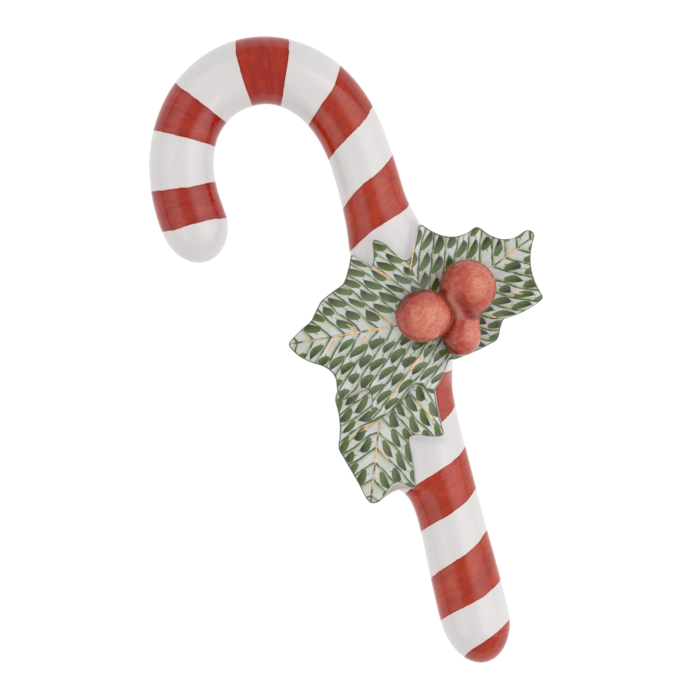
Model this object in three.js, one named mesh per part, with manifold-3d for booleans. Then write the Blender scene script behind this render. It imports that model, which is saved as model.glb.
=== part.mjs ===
// A glazed porcelain candy cane ornament lying on its back, with three holly leaves and three berries laid across the shaft.
// Each piece is a solid of its own. In the fired ornament slip and glaze join them, and here they lie face to face
// with a seam of 0.3 mm. Units are millimetres: +X runs across the shaft, +Y from the foot to the hook, +Z up.
import * as THREE from "three";
import { mergeVertices } from "three/addons/utils/BufferGeometryUtils.js";
import Module from "manifold-3d";

const wasm = await Module();
wasm.setup();

// ---- Driving dimensions ----

const SEAM = 0.3; // room between two pieces that touch

// The cane is a hand-rolled rod, bent into a hook. Distances along it run from the foot, which is where X and Y start.
const CANE_LENGTH = 180;
const AXIS_HEIGHT = 5.9; // less than the radius, which leaves the underside flat along a 4 mm strip
const FOOT_ROUNDING = 9.6; // length of the rounded end at the foot
const TIP_ROUNDING = 7.6; // and at the tip of the hook
const CANE_SIDES = 22;
const CANE_STEP = 2.6; // length of one facet along the rod
const CAP_RINGS = 5; // facets along each rounded end
const PATH_STEP = 0.5; // fineness of the bend's integration
// [distance along, radius]: the rod is a little uneven.
const CANE_RADII = [
  [0, 6.8],
  [12, 6.9],
  [20, 6.74],
  [26, 6.5],
  [48, 6.2],
  [60, 6.3],
  [88, 6.45],
  [105, 6.25],
  [122, 6.7],
  [137, 6.85],
  [152, 6.4],
  [162, 6.5],
  [170, 6.65],
  [180, 6.4],
];
// [distance along, turn in degrees per millimetre]: the foot leans a little, the shaft is straight, and the hook is
// tightest at its top.
const FOOT_LEAN = 9.6; // degrees, all of it taken back by the first bend
const FOOT_OFFSET = 0.89; // of the foot's end from the shaft's axis
const CANE_BENDS = [
  [0, -1.2],
  [16, 0],
  [90, 0],
  [102, 0.61],
  [114, 2.33],
  [130, 3.75],
  [146, 3.37],
  [162, 2.17],
  [180, 0.71],
];
// Slip pressed out from under the leaves: low swellings on the rod's sides. around is in degrees from the crest.
const SLIP_SWELLINGS = [
  { along: 40, around: -72, rise: 1.9 },
  { along: 84, around: -72, rise: 0.9 },
  { along: 62, around: 72, rise: 2.0 },
  { along: 86.5, around: 72, rise: 2.0 },
];
const SLIP_LENGTH = 5.2; // from a swelling's middle to where it has fallen to a third
const SLIP_ARC = 38; // the same round the rod, in degrees

// The leaves drape over the shaft. Their underside follows it as far as a slope, then flattens out with distance.
const DRAPE_CREST = 12.5; // height of the underside above the table, over the shaft's axis
const DRAPE_RADIUS = 6.6;
const DRAPE_LEFT = { slope: 35, reach: 9 }; // degrees at the last contact, and the distance over which it levels out
const DRAPE_RIGHT = { slope: 15, reach: 15 };
const LEAF_EDGE = 1.7; // thickness at the margin
const LEAF_HEART = 3.2; // thickness where the leaves are pressed onto the shaft
const EDGE_ROUNDING = 0.45; // width of the rounding round the margin
const MARGIN_POWER = 3; // how closely the margin's curl keeps to the margin
const MARGIN_SAMPLE = 0.25; // fineness of a margin before it is softened
const TIP_SOFTENING = 0.75; // half width of the softening that rounds the spines
const LEAF_RINGS = [0.34, 0.62, 0.84]; // rings of facets between the heart and the margin
const OVERLAP_RISE = 1.1; // how far the left leaf's lower margin climbs onto the lower leaf
const OVERLAP_FROM = 64; // Y where that climb starts
const OVERLAP_FULL = 56; // Y where it is complete

// A margin is a ring of scallops, counterclockwise from above. Each has its spine, the deepest point before the next
// spine, how far the margin curls up there, and how far the lower face reaches past the upper one.
const LEAF_PAIR = {
  heart: [4.8, 71.3],
  facet: 1.25,
  scallops: [
    { spine: [28.6, 68.0], bay: [27.5, 74.6], curl: 0.7, lip: 0 },
    { spine: [29.8, 80.6], bay: [29.4, 81.5], curl: 0, lip: 0 },
    { spine: [28.3, 82.2], bay: [23.4, 81.3], curl: 0.6, lip: 0 },
    { spine: [18.9, 85.3], bay: [13.2, 84.3], curl: 0.5, lip: 0 },
    { spine: [7.8, 88.6], bay: [4.2, 82.0], curl: 0, lip: 0 },
    { spine: [1.3, 84.7], bay: [-0.2, 86.4], curl: 0, lip: 0 },
    { spine: [-2.2, 87.6], bay: [-3.7, 82.2], curl: 0, lip: 0 },
    { spine: [-6.9, 85.9], bay: [-8.2, 82.8], curl: 0.2, lip: 0 },
    { spine: [-9.9, 80.1], bay: [-12.5, 79.1], curl: 0.6, lip: 0 },
    { spine: [-15.1, 77.9], bay: [-16.5, 76.2], curl: 0.2, lip: 0 },
    { spine: [-17.9, 74.4], bay: [-20.6, 73.1], curl: 0.5, lip: 0 },
    { spine: [-23.6, 71.1], bay: [-21.5, 67.8], curl: 0, lip: 0 },
    { spine: [-18.2, 65.5], bay: [-16.2, 63.4], curl: 0.6, lip: 0 },
    { spine: [-15.9, 61.0], bay: [-16.1, 58.8], curl: 0, lip: 0 },
    { spine: [-15.3, 57.4], bay: [-12.5, 58.1], curl: 0.9, lip: 0.9 },
    { spine: [-9.8, 58.4], bay: [-9.9, 55.5], curl: 0, lip: 0 },
    { spine: [-11.4, 51.8], bay: [-6.1, 53.4], curl: 0, lip: 0 },
    { spine: [-1.1, 57.1], bay: [0.2, 56.9], curl: 0, lip: 0 },
    { spine: [2.1, 54.8], bay: [4.7, 56.9], curl: 0, lip: 0 },
    { spine: [7.2, 60.7], bay: [7.7, 60.2], curl: 0, lip: 0 },
    { spine: [8.5, 60.2], bay: [13.3, 60.9], curl: 0, lip: 0 },
    { spine: [17.7, 62.0], bay: [19.0, 64.8], curl: 0.5, lip: 0 },
    { spine: [19.9, 65.8], bay: [24.3, 66.3], curl: 0.3, lip: 0 },
  ],
};
const LOWER_LEAF = {
  heart: [-7.9, 52.7],
  facet: 1.6,
  scallops: [
    { spine: [2.8, 45.9], bay: [2.7, 50.9], curl: 0, lip: 0 },
    { spine: [3.1, 55.6], bay: [-3.2, 60.4], curl: 0, lip: 0 },
    { spine: [-13.9, 61.5], bay: [-16.2, 59.6], curl: 0, lip: 0 },
    { spine: [-17.0, 57.6], bay: [-17.2, 53.1], curl: 0.3, lip: 0 },
    { spine: [-18.7, 48.6], bay: [-17.4, 44.2], curl: 0.4, lip: 0 },
    { spine: [-16.2, 40.2], bay: [-15.8, 38.2], curl: 0, lip: 0 },
    { spine: [-15.2, 36.5], bay: [-14.3, 36.0], curl: 0, lip: 0 },
    { spine: [-13.0, 36.1], bay: [-9.3, 37.6], curl: 0.8, lip: 1.5 },
    { spine: [-5.5, 36.9], bay: [-4.8, 41.9], curl: 0, lip: 0 },
    { spine: [-4.5, 46.5], bay: [-3.9, 47.5], curl: 0, lip: 0 },
    { spine: [-2.2, 47.4], bay: [-0.2, 46.5], curl: 0, lip: 0 },
  ],
};
// The line under the berries where the left and the right leaf meet.
const PAIR_SEAM = { top: [3.8, 82.0], bottom: [8.0, 60.4] };

// Berries: balls of clay pressed together on the leaves, with slip filling the creases between them.
const BERRIES = [
  { name: "berry_left", centre: [4.3, 70.2, 17.6], radius: 5.5 },
  { name: "berry_right", centre: [14.1, 73.5, 16.6], radius: 5.7 },
  { name: "berry_small", centre: [10.6, 64.4, 15.4], radius: 3.9 },
];
const BERRY_WEB = { centre: [12.2, 69.0, 13.9], radius: 3.0 }; // the slip that fills the hollow between all three
const BERRY_FILLET = 2.2; // how widely the slip rounds the crease between two berries
const BERRY_DETAIL = 4;
const BERRY_REACH = 1.6; // no surface lies further from a berry's centre than this many radii

const GLAZES = {
  cane: { color: 0xe4e1df, roughness: 0.14 },
  leaf: { color: 0x8fa07c, roughness: 0.16 },
  berry: { color: 0xb9604f, roughness: 0.22 },
};

// ---- Cane ----

// The value at a distance along the cane, in a table of [distance, value] stations.
function atStation(table, along) {
  const next = table.findIndex(([station]) => station > along);
  if (next < 0) return table.at(-1)[1];
  if (next === 0) return table[0][1];
  const [from, low] = table[next - 1];
  const [to, high] = table[next];
  return low + ((high - low) * (along - from)) / (to - from);
}

// The bent centreline: a point and a heading every PATH_STEP, by adding up the turns.
function bendPath() {
  const path = [{ x: FOOT_OFFSET, y: 0, heading: THREE.MathUtils.degToRad(90 + FOOT_LEAN) }];
  for (let along = PATH_STEP; along <= CANE_LENGTH; along += PATH_STEP) {
    const last = path.at(-1);
    const turn = THREE.MathUtils.degToRad(atStation(CANE_BENDS, along - PATH_STEP / 2)) * PATH_STEP;
    const midway = last.heading + turn / 2;
    path.push({
      x: last.x + Math.cos(midway) * PATH_STEP,
      y: last.y + Math.sin(midway) * PATH_STEP,
      heading: last.heading + turn,
    });
  }
  return path;
}

const CANE_PATH = bendPath();

// The centreline's point and heading at any distance along it.
function onPath(along) {
  const place = THREE.MathUtils.clamp(along / PATH_STEP, 0, CANE_PATH.length - 1.001);
  const low = CANE_PATH[Math.floor(place)];
  const high = CANE_PATH[Math.floor(place) + 1];
  const share = place - Math.floor(place);
  const between = (key) => THREE.MathUtils.lerp(low[key], high[key], share);
  return { x: between("x"), y: between("y"), heading: between("heading") };
}

// Half ellipses close both ends of the rod.
function caneRadius(along) {
  const fromFoot = Math.min(1, along / FOOT_ROUNDING);
  const fromTip = Math.min(1, (CANE_LENGTH - along) / TIP_ROUNDING);
  const rounding = Math.sqrt((1 - (1 - fromFoot) ** 2) * (1 - (1 - fromTip) ** 2));
  return atStation(CANE_RADII, along) * rounding;
}

// How far slip swells the rod at a distance along it and an angle in degrees from its crest.
function slipRise(along, around) {
  return SLIP_SWELLINGS.reduce((sum, slip) => {
    const apart = ((along - slip.along) / SLIP_LENGTH) ** 2 + ((around - slip.around) / SLIP_ARC) ** 2;
    return sum + slip.rise * Math.exp(-apart);
  }, 0);
}

// Where the rod's rings lie: close together on the rounded ends, and even between them.
function caneStations() {
  const onCap = (length) =>
    Array.from({ length: CAP_RINGS }, (_, ring) => length * (1 - Math.cos((ring / CAP_RINGS) * (Math.PI / 2))));
  const even = CANE_LENGTH - FOOT_ROUNDING - TIP_ROUNDING;
  const count = Math.round(even / CANE_STEP);
  return [
    ...onCap(FOOT_ROUNDING),
    ...Array.from({ length: count + 1 }, (_, ring) => FOOT_ROUNDING + (even * ring) / count),
    ...onCap(TIP_ROUNDING)
      .reverse()
      .map((fromTip) => CANE_LENGTH - fromTip),
  ];
}

// A turned rod, bent along the path and pressed flat where it meets the table. It can be grown by some room all round.
function caneGeometry(room = 0) {
  const stations = caneStations();
  const profile = stations.map((along) => new THREE.Vector2(caneRadius(along) + room, along));
  profile[0].x = 0;
  profile.at(-1).x = 0;
  const rod = new THREE.LatheGeometry(profile, CANE_SIDES);
  const points = rod.getAttribute("position");
  for (let i = 0; i < points.count; i++) {
    const along = points.getY(i);
    const { x, y, heading } = onPath(along);
    const angle = Math.atan2(points.getX(i), points.getZ(i));
    const radius = Math.hypot(points.getX(i), points.getZ(i)) + slipRise(along, THREE.MathUtils.radToDeg(angle));
    const across = radius * Math.sin(angle);
    const height = Math.max(-room, AXIS_HEIGHT + radius * Math.cos(angle));
    points.setXYZ(i, x + across * Math.sin(heading), y - across * Math.cos(heading), height);
  }
  return rod;
}

// ---- Leaves ----

// How far the drape has fallen below its crest at a distance from the shaft's axis.
function drapeFall(x) {
  const side = x < 0 ? DRAPE_LEFT : DRAPE_RIGHT;
  const slope = THREE.MathUtils.degToRad(side.slope);
  const contact = DRAPE_RADIUS * Math.sin(slope);
  const distance = Math.abs(x);
  if (distance <= contact) return DRAPE_RADIUS - Math.sqrt(DRAPE_RADIUS ** 2 - distance ** 2);
  const levelling = 1 - Math.exp(-(distance - contact) / side.reach);
  return DRAPE_RADIUS * (1 - Math.cos(slope)) + Math.tan(slope) * side.reach * levelling;
}

// How far the pair's upper face climbs above the lower leaf's, near their overlap.
function climbAt(y) {
  return OVERLAP_RISE * THREE.MathUtils.smoothstep(-y, -OVERLAP_FROM, -OVERLAP_FULL);
}

// The margin as points with their curl and lip: a parabola from spine to spine through each bay, then softened.
function leafMargin(leaf) {
  const fine = [];
  leaf.scallops.forEach((scallop, i) => {
    const from = new THREE.Vector2(...scallop.spine);
    const to = new THREE.Vector2(...leaf.scallops[(i + 1) % leaf.scallops.length].spine);
    const control = new THREE.Vector2(...scallop.bay).multiplyScalar(2).sub(from.clone().add(to).multiplyScalar(0.5));
    const curve = new THREE.QuadraticBezierCurve(from, control, to);
    const count = Math.max(2, Math.round(curve.getLength() / MARGIN_SAMPLE));
    for (let j = 0; j < count; j++) {
      const swell = Math.sin((Math.PI * j) / count) ** 2;
      fine.push([...curve.getPoint(j / count).toArray(), scallop.curl * swell, scallop.lip * swell]);
    }
  });
  const half = Math.round(TIP_SOFTENING / MARGIN_SAMPLE);
  const soft = fine.map((_, i) => {
    const mean = [0, 0, 0, 0];
    for (let k = -half; k <= half; k++) {
      const near = fine[(i + k + fine.length) % fine.length];
      near.forEach((value, axis) => (mean[axis] += value / (2 * half + 1)));
    }
    return mean;
  });
  const count = Math.round((soft.length * MARGIN_SAMPLE) / leaf.facet);
  return Array.from({ length: count }, (_, i) => soft[Math.round((i * soft.length) / count) % soft.length]);
}

// A ball whose upper and lower halves are pressed into the leaf's two faces, with its equator along the margin.
// raise and depth move the two faces apart, for a cutter.
function leafGeometry(leaf, { climbs = false, raise = 0, depth = 0 } = {}) {
  const margin = leafMargin(leaf);
  const [heartX, heartY] = leaf.heart;
  const rows = LEAF_RINGS.length + 2; // rows of facets from the heart to the equator
  const ball = new THREE.SphereGeometry(1, margin.length, 2 * rows);
  const points = ball.getAttribute("position");
  for (let i = 0; i < points.count; i++) {
    const row = Math.floor(i / (margin.length + 1));
    const [edgeX, edgeY, curl, lip] = margin[(i % (margin.length + 1)) % margin.length];
    const above = row < rows;
    const ring = above ? row : 2 * rows - row; // 0 at the heart, rows at the equator
    const reach = Math.hypot(edgeX - heartX, edgeY - heartY);
    const outer = 1 - (EDGE_ROUNDING + (above ? lip : 0)) / reach;
    const shares = [0, ...LEAF_RINGS.map((share) => share * outer), outer, 1];
    const share = shares[ring];
    const x = heartX + (edgeX - heartX) * share;
    const y = heartY + (edgeY - heartY) * share;
    const underside = DRAPE_CREST - drapeFall(x) + curl * share ** MARGIN_POWER;
    const swell = (LEAF_HEART - LEAF_EDGE) * (1 - share ** 2);
    const upper = underside + LEAF_EDGE + (climbs ? climbAt(y) : 0) + raise;
    const lower = underside - swell - depth;
    const equator = lip > 0 ? lower : (upper + lower) / 2;
    points.setXYZ(i, x, y, ring === rows ? equator : above ? upper : lower);
  }
  return ball;
}

// A leaf's outline grown by the seam, as a tall block that cuts room for it out of its neighbour.
function outlineBlock(leaf) {
  const margin = leafMargin(leaf);
  const grown = margin.map(([x, y], i) => {
    const [beforeX, beforeY] = margin.at(i - 1);
    const [afterX, afterY] = margin[(i + 1) % margin.length];
    const outwards = new THREE.Vector2(afterY - beforeY, beforeX - afterX).setLength(SEAM);
    return outwards.add(new THREE.Vector2(x, y));
  });
  return new THREE.ExtrudeGeometry(new THREE.Shape(grown), { depth: 60, bevelEnabled: false });
}

// ---- Berries ----

// Distance to the fused cluster: the distances to two balls are blended where they come close.
function clusterDistance(point) {
  const balls = [...BERRIES, BERRY_WEB];
  return balls.map(({ centre, radius }) => point.distanceTo(new THREE.Vector3(...centre)) - radius).reduce((a, b) => {
    const blend = Math.max(0, BERRY_FILLET - Math.abs(a - b)) / BERRY_FILLET;
    return Math.min(a, b) - (blend ** 2 * BERRY_FILLET) / 4;
  });
}

// How far a ray from a berry's centre runs before the plane that parts it from its neighbours.
function toNeighbour(berry, ray) {
  const centre = new THREE.Vector3(...berry.centre);
  const limits = BERRIES.filter((other) => other !== berry).map((other) => {
    const between = new THREE.Vector3(...other.centre).sub(centre);
    const apart = between.length();
    const parting = (apart ** 2 + berry.radius ** 2 - other.radius ** 2) / (2 * apart) - SEAM / 2;
    const towards = ray.dot(between.normalize());
    return towards > 0 ? parting / towards : Infinity;
  });
  return Math.min(...limits);
}

// One berry of the cluster: a ball whose points move out to the fused surface, or to the parting plane.
function berryGeometry(berry) {
  const ball = mergeVertices(positionsOnly(new THREE.IcosahedronGeometry(1, BERRY_DETAIL)));
  const points = ball.getAttribute("position");
  const centre = new THREE.Vector3(...berry.centre);
  for (let i = 0; i < points.count; i++) {
    const ray = new THREE.Vector3().fromBufferAttribute(points, i).normalize();
    let inside = 0;
    let outside = berry.radius * BERRY_REACH;
    for (let halving = 0; halving < 20; halving++) {
      const middle = (inside + outside) / 2;
      if (clusterDistance(centre.clone().addScaledVector(ray, middle)) < 0) inside = middle;
      else outside = middle;
    }
    const place = centre.clone().addScaledVector(ray, Math.min(inside, toNeighbour(berry, ray)));
    points.setXYZ(i, place.x, place.y, place.z);
  }
  return ball;
}

// ---- Solids ----

function positionsOnly(geometry) {
  return new THREE.BufferGeometry()
    .setIndex(geometry.getIndex())
    .setAttribute("position", geometry.getAttribute("position"));
}

function toSolid(geometry) {
  const merged = mergeVertices(positionsOnly(geometry), 1e-4);
  const corners = merged.getIndex().array;
  const triVerts = [];
  for (let i = 0; i < corners.length; i += 3) {
    const [a, b, c] = corners.slice(i, i + 3);
    if (a !== b && b !== c && c !== a) triVerts.push(a, b, c);
  }
  const vertProperties = Float32Array.from(merged.getAttribute("position").array);
  return new wasm.Manifold(new wasm.Mesh({ numProp: 3, vertProperties, triVerts: Uint32Array.from(triVerts) }));
}

// The half of space on one side of the seam between the two upper leaves, as a large block. side is -1 or 1.
function seamSide(side) {
  const size = 200;
  const top = new THREE.Vector2(...PAIR_SEAM.top);
  const along = top.clone().sub(new THREE.Vector2(...PAIR_SEAM.bottom));
  const block = new THREE.BoxGeometry(size, size, size);
  block.translate(side * (size / 2 + SEAM / 2), 0, 0);
  block.rotateZ(along.angle() - Math.PI / 2);
  block.translate(top.x, top.y, 0);
  return toSolid(block);
}

function meshOf(name, solid, glaze) {
  const { vertProperties, triVerts } = solid.getMesh();
  const geometry = new THREE.BufferGeometry();
  geometry.setAttribute("position", new THREE.BufferAttribute(vertProperties, 3));
  geometry.setIndex(new THREE.BufferAttribute(triVerts, 1));
  geometry.computeVertexNormals();
  const material = new THREE.MeshStandardMaterial({ ...glaze, metalness: 0 });
  const mesh = new THREE.Mesh(geometry, material);
  mesh.name = name;
  return mesh;
}

// ---- Assembly ----

const ornament = new THREE.Group();
const caneRoom = toSolid(caneGeometry(SEAM));
const pair = toSolid(leafGeometry(LEAF_PAIR, { climbs: true })).subtract(caneRoom);
const pairRoom = toSolid(outlineBlock(LEAF_PAIR));
const underBerries = toSolid(leafGeometry(LEAF_PAIR, { climbs: true, raise: SEAM, depth: 20 }));

ornament.add(meshOf("cane", toSolid(caneGeometry()), GLAZES.cane));
ornament.add(meshOf("leaf_left", pair.intersect(seamSide(-1)), GLAZES.leaf));
ornament.add(meshOf("leaf_right", pair.intersect(seamSide(1)), GLAZES.leaf));
const lowerLeaf = toSolid(leafGeometry(LOWER_LEAF)).subtract(caneRoom).subtract(pairRoom);
ornament.add(meshOf("leaf_lower", lowerLeaf, GLAZES.leaf));
for (const berry of BERRIES) {
  const ball = toSolid(berryGeometry(berry)).subtract(underBerries);
  ornament.add(meshOf(berry.name, ball, GLAZES.berry));
}

// The origin is under the middle of the ornament's box.
const box = new THREE.Box3().setFromObject(ornament);
const middle = box.getCenter(new THREE.Vector3());
ornament.position.set(-middle.x, -middle.y, 0);

export default ornament;
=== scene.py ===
# A glazed porcelain candy cane ornament, lying on its back. Sizes are millimetres from the foot of the cane,
# with +Y up its shaft and +Z up from the table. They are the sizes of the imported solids, and each mesh is
# scaled to metres as it is made.

import math

import bmesh
import bpy
import numpy as np
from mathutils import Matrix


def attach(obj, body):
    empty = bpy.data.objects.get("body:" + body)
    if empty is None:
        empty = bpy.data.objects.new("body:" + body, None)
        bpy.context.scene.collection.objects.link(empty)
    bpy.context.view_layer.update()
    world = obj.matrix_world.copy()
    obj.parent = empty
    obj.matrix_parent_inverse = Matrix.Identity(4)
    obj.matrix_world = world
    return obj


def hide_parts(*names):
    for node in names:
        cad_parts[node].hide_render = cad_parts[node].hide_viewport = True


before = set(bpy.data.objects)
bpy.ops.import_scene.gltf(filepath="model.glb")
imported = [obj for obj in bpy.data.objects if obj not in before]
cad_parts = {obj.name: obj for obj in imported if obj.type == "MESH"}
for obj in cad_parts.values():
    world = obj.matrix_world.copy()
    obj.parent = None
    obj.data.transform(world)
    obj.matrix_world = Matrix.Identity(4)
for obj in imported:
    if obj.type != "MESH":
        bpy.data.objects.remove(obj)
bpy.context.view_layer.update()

# ---- Cane ----
# A rod of porcelain clay, rolled by hand and bent into a hook while it is soft. It is a little uneven, and
# its underside is flat where it dried. Slip is pressed out from under the leaves in five low swellings. The
# bands are brushed on after the first firing, and a clear glaze covers them.

MM = 0.001
FRAME_SHIFT = np.array([6.6228, -66.2971, 0])  # from the foot of the cane to the middle of the ornament

CANE_LENGTH = 180
AXIS_HEIGHT = 5.9  # less than the radius, which leaves the underside flat
FOOT_ROUNDING = 9.6
TIP_ROUNDING = 7.6
FOOT_LEAN = 9.6  # degrees
FOOT_OFFSET = 0.89
# Distance along the rod and its radius there.
CANE_RADII = [
    (0, 6.8), (12, 6.9), (20, 6.74), (26, 6.5), (48, 6.2), (60, 6.3), (88, 6.45), (105, 6.25), (122, 6.7),
    (137, 6.85), (152, 6.4), (162, 6.5), (170, 6.65), (180, 6.4),
]
# Distance along the rod and its turn there, in degrees per millimetre.
CANE_BENDS = [
    (0, -1.2), (16, 0), (90, 0), (102, 0.61), (114, 2.33), (130, 3.75), (146, 3.37), (162, 2.17), (180, 0.71),
]
# Distance along the rod, degrees round it from its crest, rise, and how far along the rod it spreads.
SLIP_SWELLINGS = [
    (40, -72, 1.9, 5.2), (38.8, -80, 1.4, 2.0), (84, -72, 0.9, 5.2), (62, 72, 2.0, 5.2), (86.5, 72, 2.0, 5.2),
]
SLIP_ARC = 38  # degrees round the rod that it spreads
CANE_SIDES = 96
RING_STEP = 0.6
CAP_RINGS = 14
BEND_STEP = 0.5
# The lower and the upper edge of each band: where it crosses the crest, how much lower it lies on the rod's
# left, and how much higher on its right.
BANDS = [
    ((-9.0, 2.0, 2.4), (4.1, 1.7, 2.8)),
    ((12.2, 1.9, 3.1), (21.6, 2.8, 4.2)),
    ((30.5, 2.1, 3.9), (39.5, 3.1, 3.4)),
    ((47.8, 0.4, 3.5), (57.4, 1.6, 1.0)),
    ((68.0, 3.5, 3.5), (76.6, 3.5, 3.5)),
    ((89.7, 3.7, 2.9), (99.1, 4.5, 3.5)),
    ((109.0, 3.2, 2.9), (117.8, 1.9, 2.0)),
    ((127.4, 1.2, 1.1), (136.6, 0.3, -0.8)),
    ((146.6, -0.1, 0.0), (154.4, -0.3, 0.1)),
    ((164.5, 0.1, -0.3), (172.2, -1.5, -1.0)),
]
EDGE_STEEPENING = 0.3  # share of a band edge's slant that comes only towards the rod's sides


def linear(code):
    """The linear colour of an sRGB hex code."""
    parts = [int(code[i : i + 2], 16) / 255 for i in (0, 2, 4)]
    return (*[p / 12.92 if p <= 0.04045 else ((p + 0.055) / 1.055) ** 2.4 for p in parts], 1)


def add(tree, kind, *sources, **settings):
    """Adds a node. The sources fill its open sockets in order, and each is a node, a socket or a value, or
    None to leave that socket alone. A setting with a capital fills the socket of that name, and any other
    sets a property."""
    starts = ("ShaderNode", "GeometryNode", "")
    kind = next(start + kind for start in starts if hasattr(bpy.types, start + kind))
    node = tree.nodes.new(kind)
    for name, value in settings.items():
        if name[0].islower():
            setattr(node, name, value)
    fills = [*zip([socket for socket in node.inputs if socket.enabled], sources)]
    for name, value in settings.items():
        if name[0].isupper():
            fills.append((node.inputs[name.replace("_", " ")], value))
    for socket, source in fills:
        if isinstance(source, bpy.types.Node):
            source = next(output for output in source.outputs if output.enabled)
        if isinstance(source, bpy.types.NodeSocket):
            tree.links.new(source, socket)
        elif source is not None:
            socket.default_value = source
    return node


def begin_tree(name, sizes):
    """A new geometry tree and the sockets of its inputs: one for a guide curve and one for each size."""
    tree = bpy.data.node_groups.new(name, "GeometryNodeTree")
    tree.interface.new_socket("Guide", in_out="INPUT", socket_type="NodeSocketGeometry")
    for size, value in sizes.items():
        kind = "NodeSocketInt" if isinstance(value, int) else "NodeSocketFloat"
        tree.interface.new_socket(size, in_out="INPUT", socket_type=kind)
    tree.interface.new_socket("Piece", in_out="OUTPUT", socket_type="NodeSocketGeometry")
    return tree, tree.nodes.new("NodeGroupInput").outputs


def grow(name, guide, tree, shape, sizes, material):
    """Ends a geometry tree and gives the plain mesh that it makes of a guide curve."""
    real = add(tree, "RealizeInstances", shape)
    add(tree, "NodeGroupOutput", add(tree, "SetMaterial", real, Material=material))
    source = bpy.data.objects.new(name, guide)
    bpy.context.scene.collection.objects.link(source)
    modifier = source.modifiers.new(name, "NODES")
    modifier.node_group = tree
    for socket in tree.interface.items_tree:
        if socket.name in sizes:
            modifier[socket.identifier] = sizes[socket.name]
    mesh = bpy.data.meshes.new_from_object(source.evaluated_get(bpy.context.evaluated_depsgraph_get()))
    bpy.data.objects.remove(source)
    return mesh


def guide_curve(name, courses):
    """A curve of open lines. Each course is an array of points in millimetres and one of radii."""
    curve = bpy.data.curves.new(name, "CURVE")
    curve.dimensions = "3D"
    for points, radii in courses:
        line = curve.splines.new("POLY")
        line.points.add(len(points) - 1)
        line.points.foreach_set("co", np.column_stack([points * MM, np.ones(len(points))]).ravel())
        line.points.foreach_set("radius", radii * MM)
    return curve


def mark(mesh, name, values):
    """Stores a number or a vector for each point of a mesh."""
    kind, key = ("FLOAT", "value") if np.ndim(values) == 1 else ("FLOAT_VECTOR", "vector")
    mesh.attributes.new(name, kind, "POINT").data.foreach_set(key, np.ravel(values).astype(np.float32))


def piece_of(name, mesh, material):
    """The finished object of a closed mesh, with smooth faces that point outwards."""
    shell = bmesh.new()
    shell.from_mesh(mesh)
    bmesh.ops.recalc_face_normals(shell, faces=shell.faces)
    shell.to_mesh(mesh)
    shell.free()
    mesh.polygons.foreach_set("use_smooth", np.ones(len(mesh.polygons), bool))
    mesh.materials.clear()
    mesh.materials.append(material)
    piece = bpy.data.objects.new(name, mesh)
    bpy.context.scene.collection.objects.link(piece)
    return piece


def glazed(name, roughness, gloss_roughness):
    """Painted porcelain under a clear glaze. The clay and the paint lie inside the glaze and have no gloss of
    their own, so all of the gloss comes from the coat, at the index of a glass."""
    material = bpy.data.materials.new(name)
    material.use_nodes = True
    shader = material.node_tree.nodes["Principled BSDF"]
    shader.inputs["Roughness"].default_value = roughness
    shader.inputs["Specular IOR Level"].default_value = 0.0
    shader.inputs["Coat Weight"].default_value = 1.0
    shader.inputs["Coat Roughness"].default_value = gloss_roughness
    shader.inputs["Coat IOR"].default_value = 1.5
    return material, material.node_tree, shader.inputs["Base Color"]


def layered(tree, colour, *layers):
    """A colour under layers of paint. Each layer is the share of the surface it covers and its colour."""
    for share, paint in layers:
        colour = add(tree, "Mix", share, colour, paint, data_type="RGBA")
    return colour


# Glazed porcelain with iron-red bands. The eye sees a cool white with soft-edged highlights, and bands that
# were brushed round the rod: the hairs of the brush show, the red is darker round the hook, the rim is a thin
# dark line where it pooled, and a pale pink halo lies outside that.
cane_glaze, tree, cane_colour = glazed("glazed_porcelain_red_bands", 0.35, 0.11)
rod = add(tree, "Attribute", attribute_name="rod").outputs["Vector"]
band = add(tree, "Attribute", attribute_name="band").outputs["Fac"]
wander = add(tree, "TexNoise", rod, Scale=0.16, Detail=1)
tremble = add(tree, "TexNoise", rod, Scale=0.7, Detail=2)
depth = add(tree, "Math", band, add(tree, "Math", wander, 0.6, -0.3, operation="MULTIPLY_ADD"))
depth = add(tree, "Math", depth, add(tree, "Math", tremble, 0.3, -0.15, operation="MULTIPLY_ADD"))
across_band = add(tree, "Attribute", attribute_name="across_band").outputs["Fac"]
up_rod, right_rod, along_rod = add(tree, "SeparateXYZ", rod).outputs
hairs = add(tree, "CombineXYZ", up_rod, right_rod, across_band)
hairs = add(tree, "VectorMath", hairs, (0.45, 0.45, 2.2), operation="MULTIPLY")  # brush hairs 0.45 mm apart
strokes = add(tree, "TexNoise", hairs, Scale=1, Detail=3, Roughness=0.6)
patches = add(tree, "TexNoise", rod, Scale=0.45, Detail=4, Roughness=0.6)
broad_patches = add(tree, "TexNoise", rod, Scale=0.17, Detail=2)
specks = add(tree, "TexNoise", rod, Scale=1.7, Detail=2)
thinned = add(tree, "MapRange", strokes, 0.34, 0.66, interpolation_type="SMOOTHSTEP")
laid = add(tree, "MapRange", patches, 0.42, 0.68, 0, 0.7, interpolation_type="SMOOTHSTEP")
heavy = add(tree, "MapRange", broad_patches, 0.5, 0.66, 0, 0.4, interpolation_type="SMOOTHSTEP")
# The red is darker round the hook.
darker_on_hook = add(tree, "MapRange", add(tree, "TexNoise", hairs, Scale=0.35, Detail=2), 0.36, 0.64, 0.25, 0.95)
on_hook = add(tree, "MapRange", along_rod, 100, 128, 0.12, 0.9)
darker_on_hook = add(tree, "Math", darker_on_hook, on_hook, operation="MULTIPLY")
grains = add(tree, "MapRange", specks, 0.4, 0.26, 0, 0.35, interpolation_type="SMOOTHSTEP")
pooled = add(tree, "MapRange", depth, 0.38, 0.1, 0, 0.8, interpolation_type="SMOOTHSTEP")
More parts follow.
